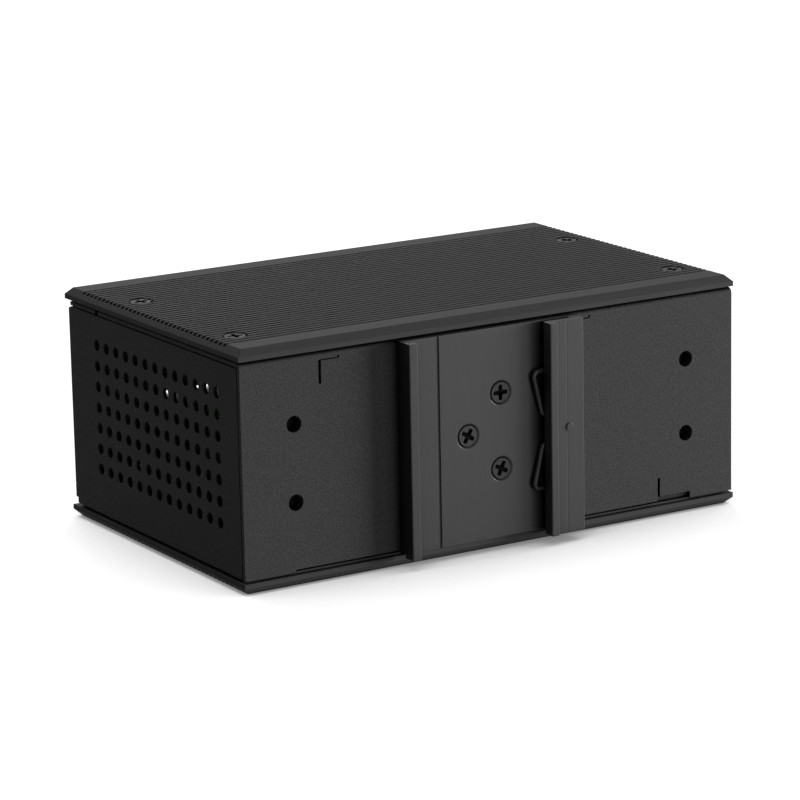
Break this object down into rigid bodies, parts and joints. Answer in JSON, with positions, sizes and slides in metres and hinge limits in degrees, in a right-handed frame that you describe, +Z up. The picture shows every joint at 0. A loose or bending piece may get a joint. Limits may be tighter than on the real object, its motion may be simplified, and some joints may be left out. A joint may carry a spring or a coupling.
{
  "type": "industrial media converter",
  "caption": "Flat metal case with ribbed black covers, perforated sides and a spring rail clip on its rear; turns a copper network line into a fibre one.",
  "frame": {"origin": "centre of the bottom cover's outer face", "axes": "+Z up through the case, +X along its length, -Y out of the rear wall that carries the rail clip, +Y out of the front wall with the ports"},
  "size_m": [0.12, 0.0837, 0.05],
  "materials": {
    "cover_black": "satin black anodised, extruded",
    "sheet_black": "fine-textured black powder coat",
    "clip_black": "satin black anodised, extruded",
    "screw_black": "black zinc plated",
    "spring_black": "black oxide wire",
    "zinc_steel": "bright zinc plated",
    "board_green": "solder mask on glass laminate",
    "tin_plate": "stamped and tin plated",
    "port_black": "moulded",
    "contact_gold": "gold flashed",
    "terminal_green": "moulded",
    "light_clear": "clear moulded",
    "light_chip": "encapsulated",
    "chip_black": "moulded",
    "sink_alloy": "mill finish",
    "can_alloy": "drawn",
    "sleeve_black": "shrunk sleeve",
    "fuse_cream": "ceramic"
  },
  "bodies": {
    "root": {"top_cover": "cover_black", "bottom_cover": "cover_black", "top_cover_screws": "screw_black", "bottom_cover_screws": "screw_black", "rail_clip_screws": "screw_black", "top_cover_nuts": "zinc_steel", "bottom_cover_nuts": "zinc_steel", "rail_clip_nuts": "sheet_black", "wall_mount_nuts": "sheet_black", "rear_chassis": "sheet_black", "front_chassis": "sheet_black", "rail_clip": "clip_black", "rail_clip_spring": "spring_black", "circuit_board": "board_green", "board_standoffs": "zinc_steel", "board_screws": "zinc_steel", "copper_port_shell": "tin_plate", "copper_port_insert": "port_black", "copper_port_contacts": "contact_gold", "fibre_port_cage": "tin_plate", "fibre_port_connector": "port_black", "terminal_housing": "terminal_green", "terminal_clamps": "zinc_steel", "terminal_screws": "zinc_steel", "light_guide": "light_clear", "light_chips": "light_chip", "ground_screw": "zinc_steel", "ground_washer": "zinc_steel", "ground_nut": "zinc_steel", "converter_chip": "chip_black", "chip_heat_sink": "sink_alloy", "line_transformer": "chip_black", "power_inductor": "chip_black", "filter_capacitors": "sleeve_black", "timing_crystal": "can_alloy", "surge_fuse": "fuse_cream"}
  },
  "joints": []
}
